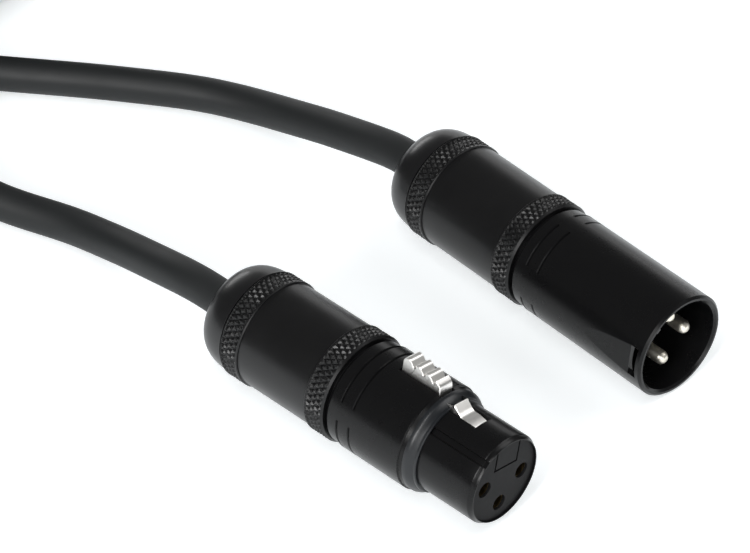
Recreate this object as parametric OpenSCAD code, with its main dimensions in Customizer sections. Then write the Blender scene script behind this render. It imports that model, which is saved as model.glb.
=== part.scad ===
// Microphone cable with a plug and a socket on its ends, the spare length in a coil.
// Millimetres. +Z is up and the floor is z = 0.
// The plug's mouth faces -Y. Each connector is drawn on its own axis first:
// local z is the station behind the mouth, local y is up, local x is the near side.

/* [Shells] */
// Outer radius of both connector shells
shell_r = 9.5; // [9.2:0.1:10.4]
// Length of the plug's shell, mouth to screw joint
male_shell_len = 30.4; // [29.6:0.2:36]
// Length of the socket's shell, nose face to screw joint
female_shell_len = 30.4; // [29.9:0.1:34.7]
// Wall of the plug's mouth
mouth_wall = 1.2; // [1:0.05:1.3]
// Depth of the plug's mouth down to the insert
mouth_depth = 15.2; // [14:0.2:17]
// Play on each side of a nose in a mouth
nose_play = 0.3; // [0.2:0.05:0.4]
// Length of the nose in front of the shoulder seal
nose_len = 12.4; // [11.8:0.1:12.8]
// Wall of the nose
nose_wall = 0.6; // [0.5:0.05:0.7]
// Rounding of the nose's front edge
nose_round = 0.4; // [0.2:0.05:0.45]
// Length of the threaded tail behind each shell
tail_len = 7.6; // [6:0.2:8.4]
// Wall of the threaded tail
tail_wall = 0.8; // [0.6:0.05:1]
// Width of the two ring grooves near the tail
groove_w = 0.5; // [0.3:0.05:0.8]
// Depth of the ring grooves
groove_depth = 0.35; // [0.2:0.05:0.45]
// Spacing of the ring grooves, and of the first one from the shell's end
groove_pitch = 2.6; // [2.2:0.1:3]
// How far the collar behind the last groove is set in
collar_step = 0.2; // [0.1:0.05:0.3]
// Bevel on the shells' outer edges
edge_bevel = 0.4; // [0.2:0.05:0.6]
// Height of the latch window in the plug's wall
window_h = 5.8; // [4.6:0.1:6.4]
// Length of the latch window
window_len = 1.7; // [1.4:0.1:2.2]
// Rim left in front of the latch window
window_rim = 1.1; // [0.9:0.1:1.5]
// Depth of the flat behind the window, at the window
flat_depth = 0.45; // [0.3:0.05:0.5]
// Length of that flat, over which its depth runs out
flat_len = 10; // [8:0.5:12]
// Width of the plug's inner key
key_w = 1.1; // [0.8:0.1:1.4]
// Height of the plug's inner key
key_h = 0.75; // [0.5:0.05:0.85]
// Depth of the key's groove in the nose
key_groove_depth = 0.45; // [0.3:0.05:0.45]

/* [Seal] */
// Length of the rubber shoulder seal
seal_len = 2.3; // [1.8:0.1:2.8]
// How far the seal stays inside the shell's outline
seal_inset = 0.5; // [0.2:0.05:0.6]

/* [Contacts] */
// Radius of a plug pin
pin_r = 1.2; // [1.1:0.05:1.25]
// Radius of the circle that the three contacts stand on
contact_circle_r = 4.4; // [4.2:0.05:4.6]
// How much thicker a pin's shank is in the insert
shank_step = 0.3; // [0.3:0.05:0.4]
// How far a pin's tip stays behind the mouth
pin_recess = 2.5; // [2:0.1:3.5]
// Radius of the bore in a socket contact
socket_bore_r = 1.25; // [1.25:0.01:1.3]
// Depth of the bore in a socket contact
socket_depth = 12.5; // [11:0.5:14]
// Wall of a socket contact
socket_wall = 0.5; // [0.4:0.05:0.6]
// Length of a contact behind its insert
contact_tail = 3.6; // [3:0.2:4]
// Radius of the solder cup's bore
cup_r = 0.8; // [0.7:0.05:0.85]
// Wall of the solder cup
cup_wall = 0.2; // [0.15:0.05:0.25]
// Depth of the solder cup
cup_depth = 2.4; // [1.6:0.1:2.8]

/* [Inserts] */
// Length of the plug's insert
male_insert_len = 12.3; // [11:0.1:12.6]
// Length of the insert's wide front flange
flange_len = 1.8; // [1.2:0.1:2.4]
// How far the socket's insert stays behind the nose face
face_recess = 0.4; // [0.3:0.1:1]
// Width of the block outlined at the top of the socket's face
block_w = 5.2; // [4.8:0.1:5.6]
// How far behind the seal the socket's insert seats in its shell
seat_inset = 1.8; // [1.2:0.1:2.8]
// How far the socket's insert ends ahead of the shell's joint
insert_inset = 1.7; // [0.8:0.1:1.8]

/* [Latch] */
// Width of the latch arm and of its hook
arm_w = 2.8; // [2.4:0.1:3]
// Thickness of the latch arm
arm_t = 1.2; // [1:0.05:1.3]
// How far the arm's top stays under the nose's bore
arm_drop = 0.8; // [0.7:0.05:0.9]
// How far the hook's catch stands out of the nose
hook_rise = 0.8; // [0.6:0.05:0.9]
// Station of the hook's tip
hook_tip = 6.5; // [6.2:0.1:6.6]
// Length of the ramp at the hook's tip
hook_ramp = 1.4; // [1.2:0.1:1.5]
// Length of the low flat between ramp and catch
hook_flat = 1.4; // [1.2:0.1:1.5]
// Length of the slope that rises to the catch
catch_len = 1.9; // [1.6:0.1:2]
// Width of the thumb button
button_w = 3.0; // [2.8:0.1:3.6]
// How far the button's rear stands out of the shell
button_rise = 2.1; // [1.5:0.1:2.3]
// Fall of the button's top towards the nose, per millimetre
button_fall = 0.1; // [0.05:0.01:0.12]
// Distance of the thumb button's rear end from the hinge pin
button_inset = 4.4; // [4:0.1:4.8]
// Ribs across the button
button_ribs = 3; // [2:1:4]
// Depth of the valleys between the ribs
rib_depth = 0.45; // [0.3:0.05:0.6]
// Distance of the latch's hinge pin from the insert's rear end
hinge_inset = 2.0; // [1.8:0.1:2.2]
// How far the hinge pin's centre lies under the arm's top
hinge_drop = 0.7; // [0.6:0.05:0.8]
// Radius of the hinge pin
hinge_r = 0.6; // [0.5:0.05:0.7]
// Radius of the latch's hinge eye
eye_r = 1.2; // [1.1:0.05:1.25]
// Radius of the spring's wire
spring_wire_r = 0.18; // [0.15:0.01:0.2]
// Turns of the spring
spring_turns = 2; // [1:1:2]
// Width of the latch's hinge eye
eye_w = 1.2; // [1:0.1:1.3]

/* [Barrels] */
// How far the two grip bands stand out of the plain middle
knurl_rise = 0.3; // [0.2:0.05:0.6]
// Wall of the barrel over the tail
barrel_wall = 0.8; // [0.7:0.05:0.9]
// Length of each grip band
knurl_w = 4.1; // [3.4:0.1:5]
// Length of the plain middle
plain_len = 16.1; // [15.6:0.1:20]
// Open gap between shell and barrel
front_gap = 0.45; // [0.3:0.05:0.8]
// Thickness of the barrel's rear wall
rear_wall = 2.6; // [2:0.1:3]
// Radius of the throat ahead of the rear wall
throat_r = 7.2; // [7:0.1:7.6]
// Length of the throat
throat_len = 2.6; // [2:0.1:3]
// Length of the cone between throat and bore
cone_len = 5.8; // [4:0.1:6]
// Bevel on the ends of the grip bands
band_bevel = 0.35; // [0.2:0.05:0.5]
// Pitch of the screw thread
thread_pitch = 1.0; // [0.75:0.05:1.25]
// Turns that undo a barrel
thread_turns = 3; // [2:1:3]

/* [Boots] */
// Length of a boot's dome
boot_len = 8.4; // [7:0.1:9]
// Fullness of the dome, 2 is round and more is squarer
boot_fullness = 2.5; // [2:0.1:3]
// Wall of the dome at the cable
boot_lip = 1.0; // [0.7:0.1:1.5]
// Radius of the boot's neck in the barrel
neck_r = 5.0; // [4.8:0.1:5.4]
// Radius of the flange that keeps the boot in the barrel
boot_flange_r = 6.4; // [6.1:0.1:6.6]
// Thickness of that flange
boot_flange_t = 1.2; // [0.8:0.1:1.6]

/* [Cable clamps] */
// Length of the clamp's tapered fingers
finger_len = 9; // [7:0.5:9.5]
// Outer radius at the end of the fingers
finger_r = 5.4; // [5:0.1:6]
// Length of the clamp's collar in the tail
collar_len = 4; // [3:0.1:4.5]
// Thickness of the clamp's stop ring
stop_t = 1.0; // [0.6:0.1:1.4]
// Width of the slots between the fingers
slot_w = 0.9; // [0.5:0.1:1.2]

/* [Cable] */
// Radius of the cable
cable_r = 3.25; // [3.2:0.05:3.3]
// Radius of a core wire
wire_r = 0.7; // [0.6:0.05:0.75]
// Distance of the cores from the cable's centre
core_offset = 1.4; // [1.2:0.1:1.6]
// Centreline radius of the coil's outer turns
coil_r = 47.2; // [47:0.1:47.4]
// Turns of the coil
coil_turns = 11.875; // [11.875:1:12.875]
// Distance between neighbouring turns and between layers
turn_pitch = 7.1; // [7:0.05:7.2]
// Width of the tie's strap
tie_w = 16; // [12:1:18]
// Thickness of the tie's strap
tie_t = 1.0; // [0.8:0.05:1]

/* [Clearances] */
// Radial clearance of the screw joint and of the boot's neck
turn_gap = 0.1; // [0.08:0.01:0.1]
// Clearance of parts pushed into their seats
seat_gap = 0.05; // [0.03:0.01:0.08]
// Radial clearance of the latch on its hinge pin
hinge_gap = 0.05; // [0.03:0.01:0.08]
// Clearance on each side of the latch
latch_gap = 0.3; // [0.25:0.05:0.4]
// Clearance round the cable in a boot, and between strap and coil
cable_gap = 0.3; // [0.3:0.05:0.4]

/* [Placement] */
// Distance of the plug's axis from the middle
male_x = 23.5; // [21:0.5:40]
// Place of the plug's mouth
male_y = -30.0; // [-31:0.5:-29]
// Distance of the socket's nose from the middle
female_x = -19.6; // [-20.6:0.1:-18.6]
// Place of the socket's nose
female_y = -33.5; // [-34.1:0.1:-32.9]
// Turn of the socket about the vertical
female_yaw = 4.3; // [3.8:0.1:4.8]
// Roll of the plug, latch window to the near side
male_roll = 84; // [80:1:88]
// Roll of the socket, latch button on top
female_roll = -11; // [-20:1:10]

/* [Hidden] */
$fn = 96;

eps = 0.01;
barrel_r = shell_r;
knurl_r = barrel_r + knurl_rise;
boot_r = barrel_r;
axis_z = knurl_r;
mouth_r = shell_r - mouth_wall;
nose_r = mouth_r - nose_play;
barrel_bore_r = barrel_r - barrel_wall;
tail_r = barrel_bore_r - turn_gap;
tail_bore_r = tail_r - tail_wall;
barrel_len = 2 * knurl_w + plain_len;
male_barrel_start = male_shell_len + front_gap;
female_barrel_start = female_shell_len + front_gap;
nose_bore_r = nose_r - nose_wall;
seal_end = nose_len + seal_len;
male_insert_end = mouth_depth + male_insert_len;
tail_fit_r = tail_bore_r - seat_gap;
socket_r = socket_bore_r + socket_wall;
cup_outer_r = cup_r + cup_wall;
seat_station = seal_end + seat_inset;
female_insert_end = female_shell_len - insert_inset;
jacket_in = 1.6;          // the jacket starts this far inside the tail's end
male_jacket = male_shell_len + tail_len - jacket_in;
female_jacket = female_shell_len + tail_len - jacket_in;
arm_top = nose_bore_r - arm_drop;
hook_top = nose_r + hook_rise;
hook_end = hook_tip + hook_ramp + hook_flat + catch_len;
hinge_station = female_insert_end - hinge_inset;
button_start = seal_end + 0.5;
button_end = hinge_station - button_inset;
button_len = button_end - button_start;
button_top = shell_r + button_rise;
hinge_height = arm_top - hinge_drop;
channel_floor = hinge_height - 2.6;  // keeps the pressed latch off its insert
channel_start = hook_tip - 0.5;
contact_angles = [90, -90, 180];  // contacts 1, 2 and 3 of the socket, from its latch
key_angle = 45;                   // the socket's key groove, from its latch
clip_w = 3;
clip_t = 0.4;
clip_len = 8;
coil_layers = 4;
coil_lift = tie_t + cable_gap;
coil_center = [1.3, 171.6];
coil_start_angle = 220.2;
coil_rings = 24;
run_sides = 10;
coil_sides = 6;
layer_turns = coil_turns / coil_layers;

// The plug mirrors the socket, so that the two mate
function male_angle(i) = male_roll - contact_angles[i - 1];
function female_angle(i) = female_roll + contact_angles[i - 1];
function unit(v) = v / norm(v);
function polar(r, a) = [r * sin(a), r * cos(a)];

// A ring of n points round c, square to the direction t
function ring(c, t, ref, r, n) =
    let (side = unit(cross(ref, t)), top = cross(t, side))
    [for (i = [0 : n - 1]) c + r * (cos(360 * (i + 0.5) / n) * side + sin(360 * (i + 0.5) / n) * top)];

// Direction of a path at its point i
function heading(path, i) =
    let (last = len(path) - 1)
    unit(path[min(i + 1, last)] - path[max(i - 1, 0)]);

// One closed tube along a path
module tube(path, r, sides, ref = [0, 0, 1]) {
    last = len(path) - 1;
    points = [for (i = [0 : last]) each ring(path[i], heading(path, i), ref, r, sides)];
    walls = [
        for (i = [0 : last - 1], j = [0 : sides - 1])
            let (k = (j + 1) % sides, a = i * sides, b = a + sides)
            each [[a + j, b + j, b + k], [a + j, b + k, a + k]]
    ];
    front = [for (j = [1 : sides - 2]) [0, j, j + 1]];
    back = [for (j = [1 : sides - 2]) [last * sides, last * sides + j + 1, last * sides + j]];
    polyhedron(points = points, faces = concat(walls, front, back));
}

// Puts a connector, drawn on its own axis, where it lies
module male_place() {
    translate([male_x, male_y, axis_z]) rotate([90, 0, 180]) children();
}

module female_place() {
    translate([female_x, female_y, axis_z]) rotate([0, 0, female_yaw]) rotate([90, 0, 180]) children();
}

// Turns a child drawn towards local y round the connector's axis
module roll(angle) {
    rotate([0, 0, -angle]) children();
}

// Places a child on the contact circle
module on_circle(angle) {
    roll(angle) translate([0, contact_circle_r, 0]) children();
}

// Two ring grooves, over the given arcs
module ring_grooves(shell_len, arcs) {
    for (k = [1, 2], arc = arcs)
        translate([0, 0, shell_len - k * groove_pitch - groove_w / 2])
            rotate([0, 0, 90 - arc[1]])
                rotate_extrude(angle = arc[1] - arc[0])
                    translate([shell_r - groove_depth, 0]) square([groove_depth + 1, groove_w]);
}

// Outline of a shell's rear half, from the grooves to the tail
function rear_outline(shell_len) =
    let (collar = shell_len - groove_pitch + groove_w / 2)
    [
        [shell_r, collar],
        [shell_r - collar_step, collar],
        [shell_r - collar_step, shell_len - edge_bevel],
        [shell_r - collar_step - edge_bevel, shell_len],
        [tail_r, shell_len],
        [tail_r, shell_len + tail_len - edge_bevel],
        [tail_r - edge_bevel, shell_len + tail_len],
        [tail_bore_r, shell_len + tail_len],
    ];

module male_shell() {
    seat = mouth_depth + flange_len;
    color("#141416") male_place() {
        difference() {
            rotate_extrude()
                polygon(concat(
                    [
                        [tail_bore_r, seat],
                        [mouth_r, seat],
                        [mouth_r, edge_bevel],
                        [mouth_r + edge_bevel, 0],
                        [shell_r - edge_bevel, 0],
                        [shell_r, edge_bevel],
                    ],
                    rear_outline(male_shell_len)));
            roll(male_roll) {
                translate([-window_h / 2, mouth_r - 1, window_rim]) cube([window_h, shell_r, window_len]);
                side_extrude(shell_r) polygon([
                    [window_rim + window_len / 2, shell_r - flat_depth],
                    [window_rim + window_len, shell_r - flat_depth],
                    [window_rim + window_len + flat_len, shell_r],
                    [window_rim + window_len / 2, shell_r + 1],
                ]);
            }
            ring_grooves(male_shell_len, [[6, 61], [100, 164], [186, 250], [280, 344]]);
        }
        roll(male_roll - key_angle)
            translate([-key_w / 2, mouth_r - key_h, edge_bevel])
                cube([key_w, key_h + 0.3, mouth_depth - edge_bevel - seat_gap]);
    }
}

module male_insert() {
    color("#101012") male_place() difference() {
        union() {
            translate([0, 0, mouth_depth]) cylinder(r = mouth_r - seat_gap, h = flange_len);
            translate([0, 0, mouth_depth]) cylinder(r = tail_fit_r, h = male_insert_len);
        }
        for (i = [1 : 3])
            on_circle(male_angle(i))
                translate([0, 0, mouth_depth - 1]) cylinder(r = pin_r + shank_step + seat_gap, h = male_insert_len + 2);
        clip_slot(male_roll - key_angle + 180, male_insert_end);
    }
}

// Pin drawn on local z: round nose, bare length, thicker shank in the insert, open solder cup
module male_pin(i) {
    shank_r = pin_r + shank_step;
    end = male_insert_end + contact_tail;
    color("#c9c2b0") male_place() on_circle(male_angle(i)) rotate_extrude() polygon([
        [0, pin_recess],
        [pin_r * 0.55, pin_recess],
        [pin_r * 0.85, pin_recess + pin_r / 3],
        [pin_r, pin_recess + pin_r],
        [pin_r, mouth_depth],
        [shank_r, mouth_depth],
        [shank_r, male_insert_end],
        [cup_outer_r, male_insert_end],
        [cup_outer_r, end],
        [cup_r, end],
        [cup_r, end - cup_depth],
        [0, end - cup_depth],
    ]);
}

module male_pin_1() { male_pin(1); }
module male_pin_2() { male_pin(2); }
module male_pin_3() { male_pin(3); }

// Flat seat of the ground clip, cut in an insert's side opposite the key
module clip_slot(angle, insert_end) {
    roll(angle)
        translate([-clip_w / 2 - seat_gap, tail_fit_r - 2 * clip_t, insert_end - clip_len])
            cube([clip_w + 2 * seat_gap, 2, clip_len + 1]);
}

// Bent strip: a flat leg in the insert and a short foot over its end
module clip(angle, insert_end) {
    roll(angle) translate([-clip_w / 2, tail_fit_r - 2 * clip_t, insert_end - clip_len]) {
        cube([clip_w, clip_t, clip_len + clip_t]);
        translate([0, -2, clip_len]) cube([clip_w, 2 + clip_t, clip_t]);
    }
}

module male_ground_clip() {
    color("#b8b2a2") male_place() clip(male_roll - key_angle + 180, male_insert_end);
}

module female_ground_clip() {
    color("#b8b2a2") female_place() clip(female_roll + key_angle + 180, female_insert_end);
}

// Three cores from the solder cups into the jacket
module cores(angles, cups_end, jacket_start) {
    cup_floor = cups_end - cup_depth;
    for (angle = angles) {
        side = polar(1, angle);
        far = [side.x * contact_circle_r, side.y * contact_circle_r, 0];
        near = [side.x * core_offset, side.y * core_offset, 0];
        tube([
            far + [0, 0, cup_floor],
            far + [0, 0, cup_floor + 0.5],
            far + [0, 0, cups_end],
            (far + near) / 2 + [0, 0, (cups_end + jacket_start) / 2],
            near + [0, 0, jacket_start - 0.5],
            near + [0, 0, jacket_start],
        ], wire_r, 8, [1, 0, 0]);
    }
}

module male_wires() {
    color("#a33a2c") male_place()
        cores([for (i = [1 : 3]) male_angle(i)], male_insert_end + contact_tail, male_jacket);
}

module female_wires() {
    color("#a33a2c") female_place()
        cores([for (i = [1 : 3]) female_angle(i)], female_insert_end + contact_tail, female_jacket);
}

// Split clamp: a collar in the tail, a stop ring on its end and tapered fingers on the cable
module chuck(tail_end) {
    difference() {
        rotate_extrude() polygon([
            [cable_r, tail_end - jacket_in],
            [tail_fit_r - tail_wall, tail_end - collar_len],
            [tail_fit_r, tail_end - collar_len],
            [tail_fit_r, tail_end],
            [tail_r - edge_bevel, tail_end],
            [tail_r - edge_bevel, tail_end + stop_t],
            [tail_bore_r - 0.6, tail_end + stop_t],
            [finger_r, tail_end + stop_t + finger_len],
            [cable_r, tail_end + stop_t + finger_len],
        ]);
        for (a = [45, 135])
            rotate([0, 0, a])
                translate([-tail_r, -slot_w / 2, tail_end + stop_t + 1]) cube([2 * tail_r, slot_w, finger_len]);
    }
}

module male_chuck() {
    color("#2a2a2c") male_place() chuck(male_shell_len + tail_len);
}

module female_chuck() {
    color("#2a2a2c") female_place() chuck(female_shell_len + tail_len);
}

// Screw barrel: two grip bands, a plain middle, a bore over the tail and a wall round the boot's neck
module barrel(start) {
    throat = barrel_len - rear_wall - throat_len;
    bore_end = throat - cone_len;
    translate([0, 0, start]) rotate_extrude() polygon([
        [barrel_bore_r, 0],
        [knurl_r - band_bevel, 0],
        [knurl_r, band_bevel],
        [knurl_r, knurl_w],
        [barrel_r, knurl_w],
        [barrel_r, barrel_len - knurl_w],
        [knurl_r, barrel_len - knurl_w],
        [knurl_r, barrel_len - band_bevel],
        [knurl_r - band_bevel, barrel_len],
        [neck_r + turn_gap, barrel_len],
        [neck_r + turn_gap, barrel_len - rear_wall],
        [throat_r, barrel_len - rear_wall],
        [throat_r, throat],
        [barrel_bore_r, bore_end],
    ]);
}

module male_barrel() {
    color("#1a1a1c") male_place() barrel(male_barrel_start);
}

module female_barrel() {
    color("#1a1a1c") female_place() barrel(female_barrel_start);
}

// Boot: a dome behind the barrel on a neck that a flange keeps in the barrel
module boot(start) {
    steps = 12;
    dome = start + barrel_len + turn_gap;
    flange = start + barrel_len - rear_wall - turn_gap;
    bore_r = cable_r + cable_gap;
    lip_r = bore_r + boot_lip;
    rotate_extrude() polygon(concat(
        [
            [bore_r, flange - boot_flange_t],
            [boot_flange_r, flange - boot_flange_t],
            [boot_flange_r, flange],
            [neck_r, flange],
            [neck_r, dome],
        ],
        [
            for (i = [0 : steps])
                let (a = 90 * i / steps)
                [
                    lip_r + (boot_r - lip_r) * pow(cos(a), 2 / boot_fullness),
                    dome + boot_len * pow(sin(a), 2 / boot_fullness),
                ]
        ],
        [[bore_r, dome + boot_len]]));
}

module male_boot() {
    color("#1c1c1e") male_place() boot(male_barrel_start);
}

module female_boot() {
    color("#1c1c1e") female_place() boot(female_barrel_start);
}

module female_shell() {
    color("#141416") female_place() difference() {
        rotate_extrude()
            polygon(concat(
                [
                    [tail_bore_r, seat_station],
                    [nose_bore_r, seat_station],
                    [nose_bore_r, 0.2],
                    [nose_bore_r + 0.2, 0],
                ],
                [
                    for (a = [0 : 22.5 : 90])
                        [nose_r - nose_round * (1 - sin(a)), nose_round * (1 - cos(a))]
                ],
                [
                    [nose_r, seal_end],
                    [shell_r - edge_bevel, seal_end],
                    [shell_r, seal_end + edge_bevel],
                ],
                rear_outline(female_shell_len)));
        roll(female_roll) {
            translate([-arm_w / 2 - latch_gap, nose_bore_r - 2, channel_start])
                cube([arm_w + 2 * latch_gap, 4, nose_len - channel_start - 0.1]);
            translate([-button_w / 2 - latch_gap, nose_bore_r - 2, seal_end - 0.1])
                cube([button_w + 2 * latch_gap, 6, button_len + 1.1]);
        }
        roll(female_roll + key_angle)
            translate([-key_w / 2 - 0.1, nose_r - key_groove_depth, -1])
                cube([key_w + 0.2, 1, nose_len + 1]);
        ring_grooves(female_shell_len, [[0, 360]]);
    }
}

module shoulder_seal() {
    outer = shell_r - seal_inset;
    soft = 0.8;
    color("#2b3036") female_place() rotate_extrude() polygon(concat(
        [[outer, seal_end], [nose_r, seal_end], [nose_r, nose_len]],
        [for (a = [0 : 15 : 90]) [outer - soft * (1 - sin(a)), nose_len + soft * (1 - cos(a))]]));
}

module female_insert() {
    channel = arm_w + 2 * latch_gap;
    line_w = 0.35;
    block_floor = 2.6;
    color("#17171a") female_place() difference() {
        union() {
            translate([0, 0, face_recess]) cylinder(r = nose_bore_r - seat_gap, h = female_insert_end - face_recess);
            translate([0, 0, seat_station]) cylinder(r = tail_fit_r, h = female_insert_end - seat_station);
        }
        for (i = [1 : 3]) on_circle(female_angle(i)) {
            translate([0, 0, face_recess - 1]) cylinder(r = socket_bore_r + 0.15, h = 3);
            translate([0, 0, face_recess + 0.5]) cylinder(r = socket_r + seat_gap, h = female_insert_end);
        }
        roll(female_roll) {
            translate([-channel / 2, channel_floor, channel_start])
                cube([channel, nose_r, female_insert_end]);
            translate([-button_w / 2 - latch_gap, channel_floor, seal_end])
                cube([button_w + 2 * latch_gap, nose_r, button_len + 1.4]);
            translate([0, hinge_height, hinge_station])
                rotate([0, 90, 0]) cylinder(r = hinge_r + eps, h = 20, center = true);
            for (side = [-1, 1])
                translate([side * block_w / 2 - line_w / 2, block_floor, face_recess - 1])
                    cube([line_w, nose_r, 1 + line_w]);
            translate([-block_w / 2, block_floor, face_recess - 1]) cube([block_w, line_w, 1 + line_w]);
        }
        clip_slot(female_roll + key_angle + 180, female_insert_end);
    }
}

module female_contact(i) {
    start = face_recess + 0.5;
    end = female_insert_end + contact_tail;
    color("#c2a15a") female_place() on_circle(female_angle(i))
        difference() {
            rotate_extrude() polygon([
                [0, start],
                [socket_r, start],
                [socket_r, female_insert_end],
                [cup_outer_r, female_insert_end],
                [cup_outer_r, end],
                [cup_r, end],
                [cup_r, end - cup_depth],
                [0, end - cup_depth],
            ]);
            translate([0, 0, start - 1]) cylinder(r = socket_bore_r, h = socket_depth + 1);
        }
}

module female_contact_1() { female_contact(1); }
module female_contact_2() { female_contact(2); }
module female_contact_3() { female_contact(3); }

// Height of the button's ridges at a station
function button_height(station) = button_top - button_fall * (button_end - station);

// Side view of the ribbed thumb button, as [station, height]
function button_outline() =
    let (
        front_len = 0.9,
        rear_len = 0.35,
        first = button_start + front_len,
        pitch = (button_len - front_len - rear_len) / button_ribs
    )
    concat(
        [
            [button_start, arm_top - arm_t],
            [button_start, button_height(button_start) - 1.4],
            [button_start + 0.4, button_height(button_start) - 0.4],
            [first, button_height(first) - 0.1],
        ],
        [
            for (i = [0 : button_ribs - 1])
                each [
                    [first + (i + 0.08) * pitch, button_height(first + i * pitch) - rib_depth],
                    [first + (i + 0.33) * pitch, button_height(first + i * pitch) - rib_depth],
                    [first + (i + 0.74) * pitch, button_height(first + (i + 0.74) * pitch)],
                    [first + (i + 1) * pitch, button_height(first + (i + 1) * pitch)],
                ]
        ],
        [
            [button_end, button_top - 0.6],
            [button_end, arm_top - arm_t],
        ]);

// Draws an outline given as [station, height] and gives it a width across the latch
module side_extrude(w) {
    rotate([0, -90, 0]) translate([0, 0, -w / 2]) linear_extrude(w) children();
}

module female_latch() {
    color("#d4d4d6") female_place() roll(female_roll) difference() {
        union() {
            side_extrude(arm_w) polygon([
                [hook_tip, arm_top - arm_t],
                [hook_tip, nose_r - 0.85],
                [hook_tip + hook_ramp, nose_r - 0.45],
                [hook_tip + hook_ramp + hook_flat, nose_r - 0.45],
                [hook_end, hook_top],
                [hook_end + 0.2, arm_top],
                [hinge_station - eye_r, arm_top],
                [hinge_station - eye_r, arm_top - arm_t],
            ]);
            intersection() {
                side_extrude(button_w) polygon(button_outline());
                button_bevels();
            }
            translate([arm_w / 2 - eye_w / 2, hinge_height, hinge_station])
                rotate([0, 90, 0]) cylinder(r = eye_r, h = eye_w, center = true);
            translate([arm_w / 2 - eye_w, hinge_height - 0.6, hinge_station - 1.6 * eye_r])
                cube([eye_w, 1.2, 1.6 * eye_r]);
        }
        translate([0, hinge_height, hinge_station])
            rotate([0, 90, 0]) cylinder(r = hinge_r + hinge_gap, h = 20, center = true);
    }
}

// Front view of the button: upright sides and bevelled top edges
module button_bevels() {
    bevel = 0.3;
    translate([0, 0, button_start - 1]) linear_extrude(button_len + 2) polygon([
        [-button_w / 2, 0],
        [-button_w / 2, button_top - bevel],
        [-button_w / 2 + bevel, button_top + eps],
        [button_w / 2 - bevel, button_top + eps],
        [button_w / 2, button_top - bevel],
        [button_w / 2, 0],
    ]);
}

module latch_pin() {
    pin_len = arm_w + 2 * latch_gap + 2;
    color("#b0b0b4") female_place() roll(female_roll)
        translate([0, hinge_height, hinge_station])
            rotate([0, 90, 0]) cylinder(r = hinge_r, h = pin_len, center = true);
}

// Torsion spring beside the eye: turns round the pin, one leg under the arm, one over the insert
module latch_spring() {
    rings = 12;
    turn_r = hinge_r + hinge_gap + spring_wire_r + 0.1;
    step = 2.6 * spring_wire_r;
    first = -arm_w / 2 + 2 * spring_wire_r;
    end_x = first + step * spring_turns;
    arm_leg = arm_top - arm_t - hinge_height - spring_wire_r;
    floor_leg = channel_floor + latch_gap + spring_wire_r - hinge_height;
    winding = [
        for (i = [0 : spring_turns * rings])
            [first + step * i / rings, -turn_r * cos(360 * i / rings), -turn_r * sin(360 * i / rings)]
    ];
    color("#9a9aa0") female_place() roll(female_roll)
        translate([0, hinge_height, hinge_station])
            tube(
                concat([[first, floor_leg, 1.6]], winding, [[end_x, arm_leg, -2.2], [end_x, arm_leg, -3.0]]),
                spring_wire_r, 6, [1, 0, 0]);
}

// Centre of the coil's cable after a number of turns, wound clockwise seen from above
function coil_radius(t) =
    let (layer = min(floor(t / layer_turns), coil_layers - 1), in_layer = t - layer * layer_turns)
    layer % 2 == 0 ? coil_r - turn_pitch * in_layer : coil_r - turn_pitch * (layer_turns - in_layer);

function coil_height(t) =
    let (climbs = [for (k = [1 : coil_layers - 1]) max(0, min(1, (t - k * layer_turns) * 2 + 0.5))])
    cable_r + coil_lift + turn_pitch * (climbs * [for (k = climbs) 1]);

function coil_point(t) =
    let (a = coil_start_angle - 360 * t)
    [coil_center.x + coil_radius(t) * cos(a), coil_center.y + coil_radius(t) * sin(a), coil_height(t)];

coil_path = [for (i = [0 : coil_turns * coil_rings]) coil_point(i / coil_rings)];

// Least distance between turns, surface to surface, over points more than half a turn apart
coil_gap = min([
    for (i = [0 : len(coil_path) - 1], j = [i + coil_rings / 2 : 1 : len(coil_path) - 1])
        norm(coil_path[i] - coil_path[j])
]) - 2 * cable_r;
echo(coil_least_gap = coil_gap);

function male_axis(s) = [male_x, male_y + s, axis_z];
function female_axis(s) = [female_x - s * sin(female_yaw), female_y + s * cos(female_yaw), axis_z];

// A boot needs straight cable behind it for the whole travel of its barrel
straight_len = barrel_len + turn_gap + boot_len + thread_pitch * thread_turns;

male_route = [
    male_axis(male_jacket),
    male_axis(male_barrel_start + straight_len),
    [22.9, 42.5, 9.2],
    [22.1, 49.3, 7.9],
    [21.4, 55.1, 6.7],
    [20.4, 61.0, 5.5],
    [17.8, 71.5, 3.9],
    [13.7, 80.6, 3.3],
    [8.3, 88.2, 3.25],
    [2.6, 95.5, 3.25],
    [-3.3, 102.6, 3.25],
    [-9.3, 109.7, 3.25],
    [-15.8, 117.4, 3.4],
    [-22.2, 125.2, 3.8],
    [-28.5, 133.1, 4.3],
    coil_path[0],
];

female_route = [
    female_axis(female_jacket),
    female_axis(female_barrel_start + straight_len),
    [-25.1, 41.0, 8.9],
    [-25.1, 47.7, 7.3],
    [-25.1, 54.6, 5.6],
    [-25.5, 60.8, 4.3],
    [-26.5, 66.5, 3.6],
    [-28.1, 71.5, 3.3],
    [-31.7, 80.0, 3.6],
    [-34.3, 87.9, 5.2],
    [-34.7, 95.9, 8.0],
    [-33.0, 103.8, 11.7],
    [-29.3, 111.0, 15.9],
    [-23.9, 117.2, 20.0],
    [-17.2, 121.7, 23.6],
    [-9.7, 124.1, 25.6],
    coil_path[len(coil_path) - 1],
];

module cable_male_run() {
    color("#34373b") tube(male_route, cable_r, run_sides);
}

module cable_female_run() {
    color("#34373b") tube(female_route, cable_r, run_sides);
}

module cable_coil() {
    color("#34373b") tube(coil_path, cable_r, coil_sides);
}

// Rectangle with round corners, from the origin up and to the right
module soft_rectangle(width, height, corner) {
    translate([corner, 0]) square([width - 2 * corner, height]);
    translate([0, corner]) square([width, height - 2 * corner]);
    for (x = [corner, width - corner], y = [corner, height - corner])
        translate([x, y]) circle(r = corner);
}

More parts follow.
